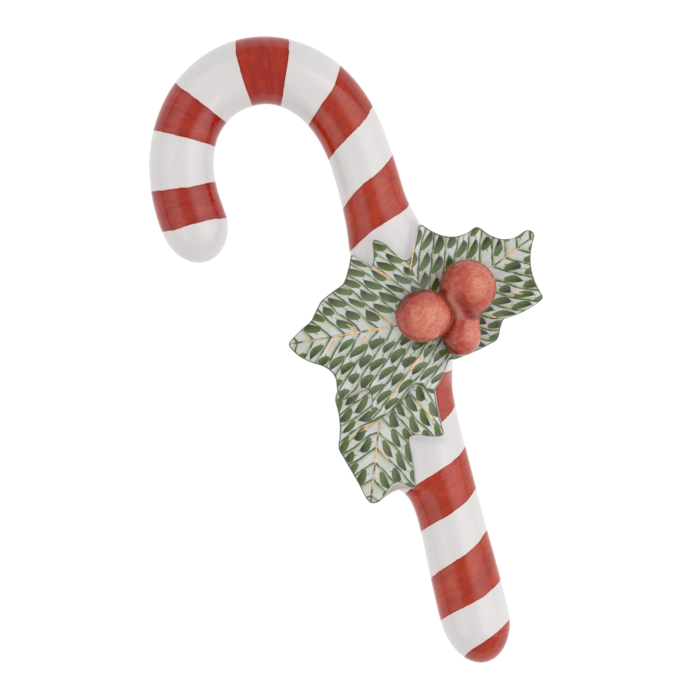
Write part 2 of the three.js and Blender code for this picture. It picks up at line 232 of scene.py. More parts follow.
red = layered(
    tree,
    linear("96200b"),
    (thinned, linear("ae3210")),
    (laid, linear("b03a14")),
    (heavy, linear("86180a")),
    (darker_on_hook, linear("900f07")),
    (grains, linear("761809")),
    (pooled, linear("6c180e")),
)
clouds = add(tree, "TexNoise", rod, Scale=0.09, Detail=1)
halo = add(tree, "MapRange", depth, -0.42, -0.14, interpolation_type="SMOOTHSTEP")
white = layered(tree, linear("ccc9c8"), (clouds, linear("d2cfcf")), (halo, linear("e2c2ba")))
inside = add(tree, "MapRange", depth, -0.08, 0.06, interpolation_type="SMOOTHSTEP")
tree.links.new(layered(tree, white, (inside, red)).outputs[2], cane_colour)

# The guide is the bent centreline. Each point on it gets a ring of the rod, and the rings close in at both
# ends.
cap = 1 - np.cos(np.linspace(0, math.pi / 2, CAP_RINGS, endpoint=False))
even = np.arange(FOOT_ROUNDING, CANE_LENGTH - TIP_ROUNDING, RING_STEP)
along = np.concatenate([FOOT_ROUNDING * cap, even, CANE_LENGTH - TIP_ROUNDING * cap[::-1]])
fine = np.arange(0, CANE_LENGTH + BEND_STEP / 2, BEND_STEP)
turns = np.radians(np.interp(fine[:-1] + BEND_STEP / 2, *zip(*CANE_BENDS))) * BEND_STEP
heading = math.radians(90 + FOOT_LEAN) + np.concatenate([[0], np.cumsum(turns)])
midway = (heading[1:] + heading[:-1]) / 2
fine_x = FOOT_OFFSET + np.concatenate([[0], np.cumsum(np.cos(midway) * BEND_STEP)])
fine_y = np.concatenate([[0], np.cumsum(np.sin(midway) * BEND_STEP)])
centreline = np.column_stack([np.interp(along, fine, fine_x), np.interp(along, fine, fine_y), 0 * along])
centreline += FRAME_SHIFT
foot = np.clip(1 - along / FOOT_ROUNDING, 0, 1)
tip = np.clip(1 - (CANE_LENGTH - along) / TIP_ROUNDING, 0, 1)
radii = np.interp(along, *zip(*CANE_RADII)) * np.sqrt((1 - foot**2) * (1 - tip**2))

# The tree sweeps a ring along the guide, swells it where slip was pressed out, and flattens its underside.
cane_sizes = {
    "Sides": CANE_SIDES,
    "Axis Height": AXIS_HEIGHT * MM,
    "Slip Arc": math.radians(SLIP_ARC),
    "Merge Distance": 0.01 * MM,
}
tree, given = begin_tree("bend_rolled_rod", cane_sizes)
course = given["Guide"]
for name, kind, field in (
    ("along", "FLOAT", add(tree, "SplineParameter").outputs["Length"]),
    ("centre", "FLOAT_VECTOR", add(tree, "InputPosition")),
    ("heading", "FLOAT_VECTOR", add(tree, "InputTangent")),
):
    course = add(tree, "StoreNamedAttribute", course, Name=name, Value=field, data_type=kind)
upright = add(tree, "SetCurveNormal", course, mode="Z_UP")
section = add(tree, "CurvePrimitiveCircle", given["Sides"], Radius=1.0)
swept = add(tree, "CurveToMesh", upright, section, add(tree, "InputRadius"))
swept = add(tree, "MergeByDistance", swept, Distance=given["Merge Distance"])
along_rod = add(tree, "InputNamedAttribute", "along", data_type="FLOAT")
centre = add(tree, "InputNamedAttribute", "centre", data_type="FLOAT_VECTOR")
ahead = add(tree, "InputNamedAttribute", "heading", data_type="FLOAT_VECTOR")
outwards = add(tree, "VectorMath", add(tree, "InputPosition"), centre, operation="SUBTRACT")
right = add(tree, "VectorMath", ahead, (0, 0, 1), operation="CROSS_PRODUCT")
across = add(tree, "VectorMath", outwards, right, operation="DOT_PRODUCT")
up = add(tree, "SeparateXYZ", outwards).outputs["Z"]
angle = add(tree, "Math", across, up, operation="ARCTAN2")
radius = add(tree, "VectorMath", outwards, operation="LENGTH")
for at, side, rise, length in SLIP_SWELLINGS:
    ahead_of = add(tree, "Math", along_rod, at * MM, operation="SUBTRACT")
    ahead_of = add(tree, "Math", ahead_of, length * MM, operation="DIVIDE")
    beside = add(tree, "Math", angle, math.radians(side), operation="SUBTRACT")
    beside = add(tree, "Math", beside, given["Slip Arc"], operation="DIVIDE")
    apart = add(tree, "Math", ahead_of, ahead_of, operation="MULTIPLY")
    apart = add(tree, "Math", beside, beside, apart, operation="MULTIPLY_ADD")
    fallen = add(tree, "Math", math.e, add(tree, "Math", apart, -1, operation="MULTIPLY"), operation="POWER")
    radius = add(tree, "Math", fallen, rise * MM, radius, operation="MULTIPLY_ADD")
rightwards = add(tree, "Math", radius, add(tree, "Math", angle, operation="SINE"), operation="MULTIPLY")
upwards = add(tree, "Math", radius, add(tree, "Math", angle, operation="COSINE"), operation="MULTIPLY")
height = add(tree, "Math", add(tree, "Math", upwards, given["Axis Height"]), 0, operation="MAXIMUM")
sideways = add(tree, "VectorMath", right, Scale=rightwards, operation="SCALE")
place = add(tree, "VectorMath", add(tree, "VectorMath", centre, sideways), add(tree, "CombineXYZ", Z=height))
straight = add(tree, "CombineXYZ", upwards, rightwards, along_rod)
bent = add(tree, "StoreNamedAttribute", swept, Name="rod", Value=straight, data_type="FLOAT_VECTOR")
bent = add(tree, "SetPosition", bent, Position=place)
cane_mesh = grow("cane", guide_curve("cane", [(centreline, radii)]), tree, bent, cane_sizes, cane_glaze)

# The paint reads each point's place on the straight rod, how deep inside a band it lies, and how far it lies
# above that band's lower edge, which the brush hairs run along.
on_rod = np.zeros(len(cane_mesh.vertices) * 3)
cane_mesh.attributes["rod"].data.foreach_get("vector", on_rod)
on_rod = on_rod.reshape(-1, 3) / MM
for attribute in ("rod", "along", "centre", "heading"):
    cane_mesh.attributes.remove(cane_mesh.attributes[attribute])
lean = np.sin(np.arctan2(on_rod[:, 1], on_rod[:, 0]))  # from -1 on the rod's left to 1 on its right


def band_edge(crest, fall, rise):
    """Where a band's edge lies along the rod, for each point's place round it."""
    slant = (1 - EDGE_STEEPENING) * lean + EDGE_STEEPENING * lean**3
    return crest + (rise + fall) / 2 * slant + (rise - fall) / 2 * lean**2


above = np.array([on_rod[:, 2] - band_edge(*low) for low, _ in BANDS])
below = np.array([band_edge(*high) - on_rod[:, 2] for _, high in BANDS])
depths = np.minimum(above, below)
mark(cane_mesh, "rod", on_rod)
mark(cane_mesh, "band", np.max(depths, axis=0))
mark(cane_mesh, "across_band", np.take_along_axis(above, np.argmax(depths, axis=0)[None], 0)[0])
cane = piece_of("cane_glazed", cane_mesh, cane_glaze)
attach(cane, "root")
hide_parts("cane")

# ---- Holly leaves ----
# Three leaves, cut from a thin slab with a scalloped outline and draped over the shaft. Two of them run into
# each other under the berries and are one skin here. Each has a midrib and side veins, raised with a
# modelling tool, and is painted with rows of small dabs that slant away from the midrib.

DRAPE_CREST = 12.5  # height of a leaf's underside where it crosses over the shaft's axis
DRAPE_RADIUS = 6.6
DRAPE_LEFT = (35, 9)  # slope in degrees where the leaf leaves the shaft, and how far it takes to level out
DRAPE_RIGHT = (15, 15)
LEAF_EDGE = 1.7  # thickness at the margin
LEAF_HEART = 3.2  # and in the middle
EDGE_ROUNDING = 0.45
WIDE_LIP = (0.9, 1.5)  # a lip starts to hang down at the first width, and hangs fully at the second
LIP_HANG = 0.8  # share of the way down to its lower face
OVERLAP_RISE = 1.1  # of the left leaf over the lower one
OVERLAP_FROM = 64  # up the shaft, where that rise starts
OVERLAP_FULL = 56  # and where it is full
BAY_SAMPLES = 200
MARGIN_SAMPLE = 0.25
SOFTENING = 3  # samples on either side
MARGIN_FACET = 0.42
FACE_RINGS = 45
RING_CROWDING = 0.8  # below 1, so the rings lie closer towards the edge
EDGE_RINGS = (6, 5)  # round the upper and the lower half of the edge
DEEP_INSIDE = 12.0  # the inset that the paint reads at the heart
UNPAINTED = -9.0  # and where a leaf is bare
VEIN_POINTS = 12
VEIN_RISE = 0.22
VEIN_WIDTH = 0.8
ROW_PITCH = 3.2
ROW_SLANT = 0.75  # how far a row runs forward for each millimetre that it runs out
ROW_BOW = 0.012  # and how much that grows with each millimetre
ROW_DRIFT = 2.0  # the most that a row wanders forward
ROW_STAGGER = (0.5, 0.35)  # of a dab's pitch from row to row, and how much more by chance
DAB_PITCH = 3.8
DAB_HALF_LENGTH = (0.5, 1.25)  # how much by chance, and the least
DAB_HALF_WIDTH = (0.3, 0.85)
DAB_TAPER = 0.45  # wider by this at its base and narrower at its tip
DAB_TILT = 0.25  # the most, either way
DAB_LEAST_REACH = 0.55  # in pitches from the midrib, inside which a dab is left out
SLIP_REACH = 2.4  # how far the slip between leaf and cane spreads out from a margin
SLIP_HEIGHT = 1.1  # how far up the margin it reaches
SLIP_MOST = 3.2  # the most that it lifts the cane's skin
# The base of each leaf's midrib and its direction in degrees.
LEFT_MIDRIB = ((0.0, 69.4), 176)
RIGHT_MIDRIB = ((6.0, 70.5), 23)
LOWER_MIDRIB = ((-7.0, 58.0), -110)
# The line under the berries where the left and the right leaf meet.
SEAM_TOP = (3.8, 82.0)
SEAM_BOTTOM = (8.0, 60.4)

# Round a leaf: each spine, the deepest point before the next, how far the margin curls up there, and how far
# the lower face reaches past the upper one.
PAIR_HEART = (4.8, 71.3)
PAIR_MARGIN = [
    ((28.6, 68.0), (27.5, 74.6), 0.7, 0),
    ((29.8, 80.6), (29.4, 81.5), 0, 0),
    ((28.3, 82.2), (23.4, 81.3), 0.6, 0),
    ((18.9, 85.3), (13.2, 84.3), 0.5, 0),
    ((7.8, 88.6), (4.2, 82.0), 0, 0),
    ((1.3, 84.7), (-0.2, 86.4), 0, 0),
    ((-2.2, 87.6), (-3.7, 82.2), 0, 0),
    ((-6.9, 85.9), (-8.2, 82.8), 0.2, 0),
    ((-9.9, 80.1), (-12.5, 79.1), 0.6, 0),
    ((-15.1, 77.9), (-16.5, 76.2), 0.2, 0),
    ((-17.9, 74.4), (-20.6, 73.1), 0.5, 0),
    ((-23.6, 71.1), (-21.5, 67.8), 0, 0),
    ((-18.2, 65.5), (-16.2, 63.4), 0.6, 0),
    ((-15.9, 61.0), (-16.1, 58.8), 0, 0),
    ((-15.3, 57.4), (-12.5, 58.1), 0.9, 1.6),
    ((-9.8, 58.4), (-9.9, 55.5), 0, 0),
    ((-11.4, 51.8), (-6.1, 53.4), 0, 0),
    ((-1.1, 57.1), (0.2, 56.9), 0, 0),
    ((2.1, 54.8), (4.7, 56.9), 0, 0),
    ((7.2, 60.7), (7.7, 60.2), 0, 0),
    ((8.5, 60.2), (13.3, 60.9), 0, 0),
    ((17.7, 62.0), (19.0, 64.8), 0.5, 0),
    ((19.9, 65.8), (24.3, 66.3), 0.3, 0),
]
LOWER_HEART = (-7.9, 52.7)
LOWER_MARGIN = [
    ((2.8, 45.9), (2.7, 50.9), 0, 0),
    ((3.1, 55.6), (-3.2, 60.4), 0, 0),
    ((-13.9, 61.5), (-16.2, 59.6), 0, 0),
    ((-17.0, 57.6), (-17.2, 53.1), 0.3, 0),
    ((-18.7, 48.6), (-17.4, 44.2), 0.4, 0),
    ((-16.2, 40.2), (-15.8, 38.2), 0, 0),
    ((-15.2, 36.5), (-14.3, 36.0), 0, 0),
    ((-13.0, 36.1), (-9.3, 37.6), 0.8, 1.5),
    ((-5.5, 36.9), (-4.8, 41.9), 0, 0),
    ((-4.5, 46.5), (-3.9, 47.5), 0, 0),
    ((-2.2, 47.4), (-0.2, 46.5), 0, 0),
]


def vein(midrib, start, first, last, side=1):
    """A raised line of a leaf, from one distance off the midrib to another. It sets out from the midrib at
    start, on the left (1) or the right (-1), and runs with the painted rows. side 0 is the midrib itself."""
    (base_x, base_y), direction = midrib
    run = np.linspace(first, last, VEIN_POINTS)
    forward = start + (ROW_SLANT * run + ROW_BOW * run**2 if side else run)
    turn = math.radians(direction)
    off = side * run
    return np.column_stack([
        base_x + forward * math.cos(turn) - off * math.sin(turn),
        base_y + forward * math.sin(turn) + off * math.cos(turn),
    ])


PAIR_VEINS = [
    vein(LEFT_MIDRIB, 0, 0.5, 22, side=0),
    vein(LEFT_MIDRIB, 9.4, 0, 6.4, side=-1),
    vein(LEFT_MIDRIB, 1.9, 0, 9.0, side=-1),
    vein(LEFT_MIDRIB, -7.0, 7.5, 14.5, side=-1),
    vein(LEFT_MIDRIB, 13.7, 0, 4.2, side=1),
    vein(LEFT_MIDRIB, 7.1, 0, 8.4, side=1),
    vein(LEFT_MIDRIB, -7.7, 5.0, 16.4, side=1),
    vein(RIGHT_MIDRIB, 0, 12, 23.5, side=0),
    vein(RIGHT_MIDRIB, 10.4, 0, 7.6, side=1),
    vein(RIGHT_MIDRIB, -6.4, 8.5, 14.8, side=1),
    vein(RIGHT_MIDRIB, 10.0, 0, 9.6, side=-1),
    vein(RIGHT_MIDRIB, 2.5, 6.5, 8.8, side=-1),
]
LOWER_VEINS = [
    vein(LOWER_MIDRIB, 0, 3, 21.5, side=0),
    vein(LOWER_MIDRIB, 6.3, 0, 7.0, side=-1),
    vein(LOWER_MIDRIB, -4.1, 5.0, 12.4, side=1),
    vein(LOWER_MIDRIB, 11.9, 0, 7.8, side=1),
]


def leaf_outline(margin):
    """Points round a leaf, each with its curl and lip: a parabola for each bay, softened at the spines."""
    samples = []
    for (spine, bay, curl, lip), (following, *_) in zip(margin, margin[1:] + margin[:1]):
        start, end = np.array(spine), np.array(following)
        control = 2 * np.array(bay) - (start + end) / 2
        share = np.linspace(0, 1, BAY_SAMPLES)[:, None]
        curve = (1 - share) ** 2 * start + 2 * share * (1 - share) * control + share**2 * end
        length = np.linalg.norm(np.diff(curve, axis=0), axis=1).sum()
        count = max(2, round(length / MARGIN_SAMPLE))
        share = (np.arange(count) / count)[:, None]
        curve = (1 - share) ** 2 * start + 2 * share * (1 - share) * control + share**2 * end
        swell = np.sin(math.pi * share) ** 2
        samples.append(np.hstack([curve, curl * swell, lip * swell]))
    samples = np.concatenate(samples)
    soft = sum(np.roll(samples, k, axis=0) for k in range(-SOFTENING, SOFTENING + 1)) / (2 * SOFTENING + 1)
    places = np.linspace(0, len(soft), round(len(soft) * MARGIN_SAMPLE / MARGIN_FACET), endpoint=False)
    closed = np.vstack([soft, soft[:1]])
    return np.stack([np.interp(places, np.arange(len(closed)), column) for column in closed.T], -1)


def drape(x):
    """The height of a leaf's underside above the table, at a distance from the shaft's axis."""
    slope = np.radians(np.where(x < 0, DRAPE_LEFT[0], DRAPE_RIGHT[0]))
    reach = np.where(x < 0, DRAPE_LEFT[1], DRAPE_RIGHT[1])
    contact = DRAPE_RADIUS * np.sin(slope)
    apart = np.abs(x)
    on_shaft = DRAPE_RADIUS - np.sqrt(np.maximum(DRAPE_RADIUS**2 - np.minimum(apart, contact) ** 2, 0))
    beyond = np.maximum(apart - contact, 0)
    return DRAPE_CREST - on_shaft - np.tan(slope) * reach * (1 - np.exp(-beyond / reach))


def eased(value, low, high):
    """Runs from 0 to 1 between two values, gently at both ends."""
    share = np.clip((value - low) / (high - low), 0, 1)
    return share * share * (3 - 2 * share)


def distance_to_lines(points, lines):
    """The least distance from each point to any of the lines, each of which is an array of points."""
    least = np.full(points.shape[:-1], 1e9)
    for line in lines:
        for a, b in zip(line[:-1], line[1:]):
            share = np.clip(((points - a) @ (b - a)) / ((b - a) @ (b - a)), 0, 1)
            least = np.minimum(least, np.linalg.norm(points - a - share[..., None] * (b - a), axis=-1))
    return least


def upper_face(x, y, veins, climbs, curl=0.0):
    """The height of a leaf's upper face, with its raised veins. The left leaf climbs over the lower one."""
    climb = OVERLAP_RISE * (1 - eased(y, OVERLAP_FULL, OVERLAP_FROM)) if climbs else 0
    ridge = VEIN_RISE * np.exp(-((distance_to_lines(np.stack([x, y], -1), veins) / VEIN_WIDTH) ** 2))
    return drape(x) + LEAF_EDGE + climb + curl + ridge


def leaf(name, heart, margin, veins, climbs, material):
    """A leaf's closed skin: rings out from its heart over the upper face, round the edge and back under it.
    Each point is marked with how far inside the painted face it lies."""
    outline = leaf_outline(margin)
    reach = np.hypot(outline[:, 0] - heart[0], outline[:, 1] - heart[1])
    curl, lip = outline[:, 2], outline[:, 3]
    painted = 1 - (EDGE_ROUNDING + lip) / reach
    inner = 1 - EDGE_ROUNDING / reach

    def place(share):
        return heart[0] + (outline[:, 0] - heart[0]) * share, heart[1] + (outline[:, 1] - heart[1]) * share

    rows = []
    insets = []
    border = np.stack(place(painted), -1)
    border_line = [np.vstack([border, border[:1]])]
    faces = np.linspace(0, 1, FACE_RINGS + 1)[1:] ** RING_CROWDING
    for share in faces:
        x, y = place(share * painted)
        rows.append((x, y, upper_face(x, y, veins, climbs, curl * (share * painted) ** 3)))
        insets.append(distance_to_lines(np.stack([x, y], -1), border_line))
    upper = upper_face(*place(painted), veins, climbs, curl * painted**3)
    lower = drape(place(np.ones_like(painted))[0]) + curl
    middle = (upper + lower) / 2
    hang = 0 if climbs else LIP_HANG * eased(lip, *WIDE_LIP)
    equator = middle + (lower - middle) * hang
    for turn in np.linspace(0, math.pi / 2, EDGE_RINGS[0] + 1)[1:]:
        x, y = place(painted + (1 - painted) * math.sin(turn))
        rows.append((x, y, equator + (upper - equator) * math.cos(turn)))
        insets.append(-(1 - painted) * reach * math.sin(turn))
    for turn in np.linspace(0, math.pi / 2, EDGE_RINGS[1] + 1)[1:]:
        x, y = place(1 - (1 - inner) * (1 - math.cos(turn)))
        rows.append((x, y, equator - (equator - lower) * math.sin(turn)))
        insets.append(np.full(len(reach), UNPAINTED))
    for share in faces[::-1][1::2]:
        x, y = place(share * inner)
        swell = (LEAF_HEART - LEAF_EDGE) * (1 - share**2)
        rows.append((x, y, drape(x) + curl * share**3 - swell))
        insets.append(np.full(len(reach), UNPAINTED))
    rings = np.stack([np.stack(row, -1) for row in rows])
    at_heart = np.array([heart[0]]), np.array([heart[1]])
    top = np.array([*heart, upper_face(*at_heart, veins, climbs)[0]])
    bottom = np.array([*heart, drape(at_heart[0])[0] - LEAF_HEART + LEAF_EDGE])

    count, sides = rings.shape[:2]
    points = np.concatenate([[top], rings.reshape(-1, 3), [bottom]]) + FRAME_SHIFT
    here = 1 + np.arange(count * sides).reshape(count, sides)
    beside = np.roll(here, -1, axis=1)
    quads = np.stack([here[:-1], beside[:-1], beside[1:], here[1:]], -1).reshape(-1, 4).tolist()
    fans = [(0, int(b), int(a)) for a, b in zip(here[0], beside[0])]
    fans += [(len(points) - 1, int(a), int(b)) for a, b in zip(here[-1], beside[-1])]
    mesh = bpy.data.meshes.new(name)
    mesh.from_pydata((points * MM).tolist(), [], quads + fans)
    mark(mesh, "inset", np.concatenate([[DEEP_INSIDE], np.ravel(insets), [UNPAINTED]]))
    return piece_of(name, mesh, material)


def painted_rows(tree, spot):
    """Rows that slant away from a midrib along X, as shares of the surface that each brush covers: the
    hairlines between the rows, the wash beside them, the threads that the dabs are strung on and the dabs.
    The last is how far along its dab a point lies, from -1 to 1, and a little more by chance."""
    forward, across, _ = add(tree, "SeparateXYZ", spot).outputs
    apart = add(tree, "Math", across, operation="ABSOLUTE")
    leant = add(tree, "Math", apart, ROW_BOW, ROW_SLANT, operation="MULTIPLY_ADD")
    leant = add(tree, "Math", apart, leant, operation="MULTIPLY")
    leant = add(tree, "Math", forward, leant, operation="SUBTRACT")
    drift = add(tree, "TexNoise", spot, Scale=0.2, Detail=1)
    counted = add(tree, "Math", drift, ROW_DRIFT, leant, operation="MULTIPLY_ADD")
    counted = add(tree, "Math", counted, ROW_PITCH, operation="DIVIDE")
    row = add(tree, "Math", counted, operation="FLOOR")
    width = ROW_PITCH / math.hypot(1, ROW_SLANT)  # of a row, square to its run
    offset = add(tree, "Math", counted, operation="FRACT")
    offset = add(tree, "Math", offset, width, -width / 2, operation="MULTIPLY_ADD")
    from_line = add(tree, "Math", offset, operation="ABSOLUTE")
    from_line = add(tree, "Math", width / 2, from_line, operation="SUBTRACT")
    weight = add(tree, "Math", add(tree, "TexNoise", spot, Scale=0.8), 0.3, 0.03, operation="MULTIPLY_ADD")
    nearest = add(tree, "Math", from_line, apart, operation="MINIMUM")  # the midrib is a line too
    hairline = add(tree, "Math", nearest, weight, operation="SUBTRACT")
    hairline = add(tree, "MapRange", hairline, 0.1, -0.08, interpolation_type="SMOOTHSTEP")
    lifted = add(tree, "TexNoise", spot, Scale=0.55, Detail=2)
    lifted = add(tree, "MapRange", lifted, 0.36, 0.5, 0.45, 1)
    hairline = add(tree, "Math", hairline, lifted, operation="MULTIPLY")
    wash = add(tree, "MapRange", offset, 1.0 - width / 2, 0.1 - width / 2, interpolation_type="SMOOTHSTEP")

    # Each row is cut into cells along its run, staggered from row to row, with one dab in each cell.
    chance = add(tree, "TexWhiteNoise", W=row, noise_dimensions="1D")
    stagger = add(tree, "Math", chance, ROW_STAGGER[1], operation="MULTIPLY")
    stagger = add(tree, "Math", row, ROW_STAGGER[0], stagger, operation="MULTIPLY_ADD")
    cells = add(tree, "Math", apart, 1 / (DAB_PITCH * width / ROW_PITCH), stagger, operation="MULTIPLY_ADD")
    cell = add(tree, "Math", cells, operation="FLOOR")
    reach = add(tree, "Math", add(tree, "Math", cell, 0.5), stagger, operation="SUBTRACT")
    clear = add(tree, "Math", reach, DAB_LEAST_REACH, operation="GREATER_THAN")
    name = add(tree, "CombineXYZ", row, cell, add(tree, "Math", across, operation="SIGN"))
    luck = add(tree, "TexWhiteNoise", name, noise_dimensions="3D")
    luck_long, luck_wide, luck_dark = add(tree, "SeparateXYZ", luck.outputs["Color"]).outputs
    run = add(tree, "Math", cells, operation="FRACT")
    run = add(tree, "Math", run, DAB_PITCH, -DAB_PITCH / 2, operation="MULTIPLY_ADD")
    half = add(tree, "Math", luck_long, *DAB_HALF_LENGTH, operation="MULTIPLY_ADD")
    share = add(tree, "Math", run, half, operation="DIVIDE")
    tilt = add(tree, "Math", luck_dark, 2 * DAB_TILT, -DAB_TILT, operation="MULTIPLY_ADD")
    offset = add(tree, "Math", run, tilt, offset, operation="MULTIPLY_ADD")
    offset = add(tree, "Math", offset, operation="ABSOLUTE")
    bulge = add(tree, "Math", share, share, operation="MULTIPLY")
    bulge = add(tree, "Math", 1.0, bulge, operation="SUBTRACT", use_clamp=True)
    bulge = add(tree, "Math", bulge, operation="SQRT")
    half = add(tree, "Math", luck_wide, *DAB_HALF_WIDTH, operation="MULTIPLY_ADD")
    half = add(tree, "Math", share, -DAB_TAPER, half, operation="MULTIPLY_ADD")
    ragged = add(tree, "Math", add(tree, "TexNoise", spot, Scale=1.3), 0.3, -0.15, operation="MULTIPLY_ADD")
    half = add(tree, "Math", bulge, add(tree, "Math", half, ragged), operation="MULTIPLY")
    within = add(tree, "Math", half, offset, operation="SUBTRACT")
    dab = add(tree, "MapRange", within, -0.08, 0.2, interpolation_type="SMOOTHSTEP")
    dab = add(tree, "Math", dab, clear, operation="MULTIPLY")
    shade = add(tree, "Math", luck_dark, 0.5, share, operation="MULTIPLY_ADD")
    thread = add(tree, "MapRange", offset, 0.16, 0.05, interpolation_type="SMOOTHSTEP")
    thread = add(tree, "Math", thread, clear, operation="MULTIPLY")
    thread = add(tree, "Math", thread, lifted, operation="MULTIPLY")
    return hairline, wash, thread, dab, shade


def leaf_glaze(name, midrib, other=None):
    """Green brushwork under a glossy clear glaze: a pale ground with a thin green wash, hairlines, dabs that
    are darkest towards one end, an outline near the margin, and a bare white edge beyond it that darkens to
    brown-grey towards the underside, a painted shade. With another midrib, that leaf's rows lie on the right
    of the seam."""
    material, tree, colour = glazed(name, 0.4, 0.08)
    place = add(tree, "TexCoord").outputs["Object"]
    scaled = add(tree, "VectorMath", place, (1 / MM,) * 3, operation="MULTIPLY")

    def from_midrib(midrib):
        (base_x, base_y), direction = midrib
        base = (np.array([base_x, base_y, 0]) + FRAME_SHIFT) * MM
        turn = (0, 0, math.radians(direction))
        return add(tree, "Mapping", place, base, turn, (MM,) * 3, vector_type="TEXTURE")

    spot = from_midrib(midrib)
    if other:
        slope = (SEAM_BOTTOM[0] - SEAM_TOP[0]) / (SEAM_BOTTOM[1] - SEAM_TOP[1])
        top_x, top_y, _ = FRAME_SHIFT + (*SEAM_TOP, 0)
        x, y, _ = add(tree, "SeparateXYZ", scaled).outputs
        seam = add(tree, "Math", y, slope, top_x - slope * top_y, operation="MULTIPLY_ADD")
        side = add(tree, "Math", x, seam, operation="GREATER_THAN")
        spot = add(tree, "Mix", side, spot, from_midrib(other), data_type="VECTOR")
    hairline, wash, thread, dab, shade = painted_rows(tree, spot)

    # The dabs are lighter at one end, and a fine grain shows in them.
    set_down = add(tree, "MapRange", shade, -0.8, 1.1, interpolation_type="SMOOTHSTEP")
    grain = add(tree, "MapRange", add(tree, "TexNoise", scaled, Scale=2.6), 0.3, 0.75, 0, 0.5)
    green = layered(tree, linear("5c702e"), (set_down, linear("112400")), (grain, linear("2a4208")))

    # The outline lies just outside the painted face, and the edge beyond it is bare. Towards the underside
    # the bare edge darkens to brown-grey as painted shade, and the underside has that colour all over.
    inset = add(tree, "Attribute", attribute_name="inset").outputs["Fac"]
    tremble = add(tree, "TexNoise", scaled, Scale=0.5)
    inset = add(tree, "Math", inset, add(tree, "Math", tremble, 0.3, -0.15, operation="MULTIPLY_ADD"))
    outer = add(tree, "MapRange", inset, -0.36, -0.26, interpolation_type="SMOOTHSTEP")
    outline = add(tree, "MapRange", inset, 0.0, -0.1, 0, 0.85, interpolation_type="SMOOTHSTEP")
    pool = add(tree, "MapRange", add(tree, "TexNoise", scaled, Scale=0.35), 0.35, 0.65)
    painted = layered(
        tree,
        linear("babeb4"),
        (pool, linear("c8cac7")),
        (add(tree, "Math", wash, 0.8, operation="MULTIPLY"), linear("9aa872")),
        (add(tree, "Math", thread, 0.75, operation="MULTIPLY"), linear("4c5e26")),
        (add(tree, "Math", dab, 0.96, operation="MULTIPLY"), green),
        (add(tree, "Math", hairline, 0.85, operation="MULTIPLY"), linear("1e3006")),
        (add(tree, "Math", outline, outer, operation="MULTIPLY"), linear("3c4a20")),
    )
    # Painted shade: the bare edge turns brown-grey as it rolls under the leaf.
    thin = add(tree, "MapRange", inset, -0.3, -0.9)
    bare = layered(tree, linear("b9bdae"), (thin, linear("b0a59b")))
    covered = add(tree, "MapRange", inset, -0.42, -0.3, interpolation_type="SMOOTHSTEP")
    tree.links.new(layered(tree, bare, (covered, painted)).outputs[2], colour)
    return material


pair_glaze = leaf_glaze("glazed_porcelain_green_leaf_pair", LEFT_MIDRIB, RIGHT_MIDRIB)
pair = leaf("holly_pair", PAIR_HEART, PAIR_MARGIN, PAIR_VEINS, True, pair_glaze)
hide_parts("leaf_left", "leaf_right")
lower_glaze = leaf_glaze("glazed_porcelain_green_lower_leaf", LOWER_MIDRIB)
lower = leaf("holly_lower", LOWER_HEART, LOWER_MARGIN, LOWER_VEINS, False, lower_glaze)
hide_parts("leaf_lower")
for piece in (pair, lower):
    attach(piece, "root")

# Slip is wiped into the gap under each margin, so the skin of the cane rises to meet the leaves in a hollow
# curve.
spots = np.zeros(len(cane.data.vertices) * 3)
cane.data.vertices.foreach_get("co", spots)
spots = spots.reshape(-1, 3) / MM - FRAME_SHIFT
rise = np.zeros(len(spots))
for heart, margin in ((PAIR_HEART, PAIR_MARGIN), (LOWER_HEART, LOWER_MARGIN)):
    outline = leaf_outline(margin)[:, :2]
    reach = np.hypot(*(outline - heart).T)
    bearing = np.arctan2(*(outline - heart).T[::-1])
    order = np.argsort(bearing)
    from_heart = spots[:, :2] - heart
    towards = np.arctan2(*from_heart.T[::-1])
    margin_reach = np.interp(towards, bearing[order], reach[order], period=2 * math.pi)
    apart = distance_to_lines(spots[:, :2], [np.vstack([outline, outline[:1]])])
    apart[np.hypot(*from_heart.T) < margin_reach] = 0
    rise = np.maximum(rise, np.clip(1 - apart / SLIP_REACH, 0, 1) ** 2)
gap = np.clip(drape(spots[:, 0]) + SLIP_HEIGHT - spots[:, 2], 0, SLIP_MOST)
upward = on_rod[:, 0] / np.maximum(np.hypot(on_rod[:, 0], on_rod[:, 1]), 1)
spots[:, 2] += gap * rise * np.clip(2 * upward, 0, 1)
cane.data.vertices.foreach_set("co", ((spots + FRAME_SHIFT) * MM).ravel())
cane.data.update()

# ---- Gold veins ----
# Gold is brushed over the glaze along the raised veins, in thin broken strokes that swell and thin out, and
# is fired on last of all. A flat oval is swept along each stroke.

GOLD_WIDTH = 0.42
GOLD_THICKNESS = 0.14
STROKE_STEP = 0.3
STROKE_END = 1.2  # over which a stroke thins out
STROKE_TIP = 0.2  # share of its width that is left there
STROKE_SIDES = 12
SWELL_EVERY = 1.8
SWELL_RANGE = (0.45, 1.35)
SWELL_SEED = 7
# Each stroke's vein, and the shares of the vein where it starts and ends.
PAIR_STROKES = [
    (0, 0.1, 0.34), (0, 0.37, 0.66), (0, 0.71, 0.94), (1, 0.02, 0.5), (1, 0.58, 0.82), (2, 0.05, 0.46),
    (2, 0.55, 0.86), (3, 0.2, 0.8), (4, 0.05, 0.8), (5, 0.03, 0.42), (5, 0.5, 0.84), (6, 0.12, 0.4),
    (6, 0.47, 0.82), (7, 0.02, 0.36), (7, 0.42, 0.86), (8, 0.25, 0.82), (9, 0.1, 0.75), (10, 0.1, 0.46),
    (10, 0.52, 0.88), (11, 0.3, 0.9),
]
LOWER_STROKES = [
    (0, 0.08, 0.36), (0, 0.4, 0.68), (0, 0.73, 0.95), (1, 0.03, 0.5), (1, 0.6, 0.86), (2, 0.2, 0.8),
    (3, 0.04, 0.5), (3, 0.58, 0.84),
]

